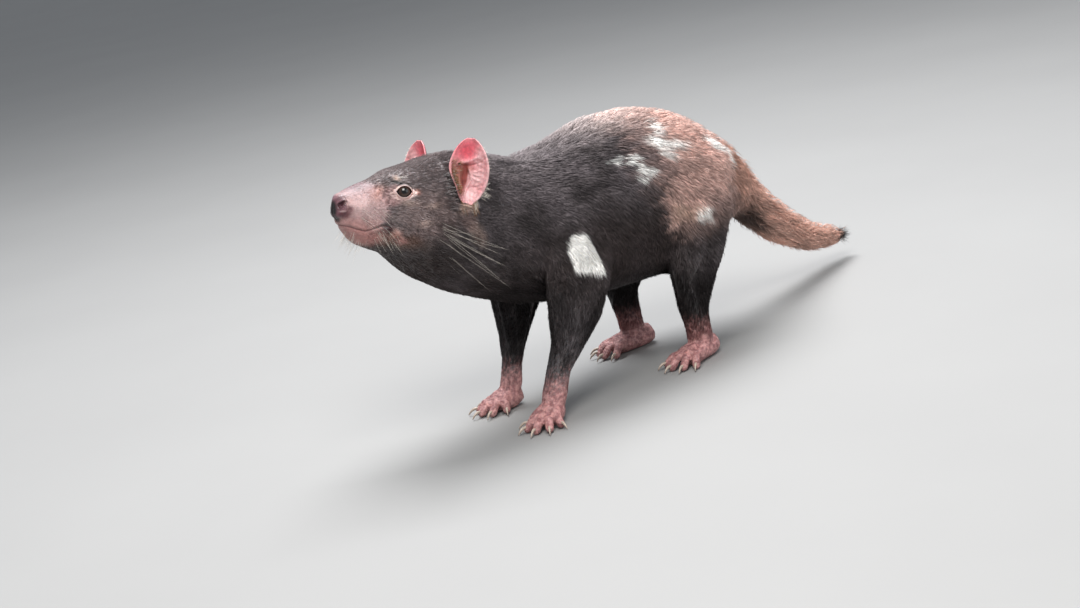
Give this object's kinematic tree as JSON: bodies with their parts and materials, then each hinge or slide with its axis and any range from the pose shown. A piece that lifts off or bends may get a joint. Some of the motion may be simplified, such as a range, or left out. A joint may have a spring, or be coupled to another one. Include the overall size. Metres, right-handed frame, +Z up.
{
  "type": "tasmanian devil",
  "caption": "Life-size standing Tasmanian devil: broad head with raised muzzle, rounded ears, stocky trunk, short legs with clawed paws and a thick tapering tail.",
  "frame": {"origin": "on the floor under the middle of the animal's bounding box, where the paws stand at z = 0", "axes": "+Z up; +X towards the tail along the length of the animal, so it faces -X; -Y is its left side"},
  "size_m": [0.7006, 0.1653, 0.2895],
  "materials": {
    "coat": "short dense coat, brown-black with a few white marks",
    "rump_coat": "coarser reddish-brown coat, darker at the tip of the tail",
    "muzzle_skin": "pink skin with sparse fine hair",
    "ear_skin": "thin pink skin, nearly bare inside",
    "paw_skin": "pink-brown skin with sparse fine hair",
    "nose_pad": "moist dark pad",
    "eye": "wet, very dark brown",
    "claw": "pale horn"
  },
  "bodies": {
    "root": {"claw_front_left_1": "claw", "claw_front_left_2": "claw", "claw_front_left_3": "claw", "claw_front_left_4": "claw", "claw_front_left_5": "claw", "claw_front_right_1": "claw", "claw_front_right_2": "claw", "claw_front_right_3": "claw", "claw_front_right_4": "claw", "claw_front_right_5": "claw", "claw_hind_left_1": "claw", "claw_hind_left_2": "claw", "claw_hind_left_3": "claw", "claw_hind_left_4": "claw", "claw_hind_right_1": "claw", "claw_hind_right_2": "claw", "claw_hind_right_3": "claw", "claw_hind_right_4": "claw", "ear_left": "ear_skin", "ear_right": "ear_skin", "eye_left": "eye", "eye_right": "eye", "head": "coat", "lower_jaw": "muzzle_skin", "lower_leg_front_left": "coat", "lower_leg_front_right": "coat", "lower_leg_hind_left": "coat", "lower_leg_hind_right": "coat", "neck": "coat", "nose": "nose_pad", "paw_front_left": "paw_skin", "paw_front_right": "paw_skin", "paw_hind_left": "paw_skin", "paw_hind_right": "paw_skin", "tail_base": "rump_coat", "tail_middle": "rump_coat", "tail_tip": "rump_coat", "torso": "coat", "upper_leg_front_left": "coat", "upper_leg_front_right": "coat", "upper_leg_hind_left": "coat", "upper_leg_hind_right": "coat"}
  },
  "joints": []
}
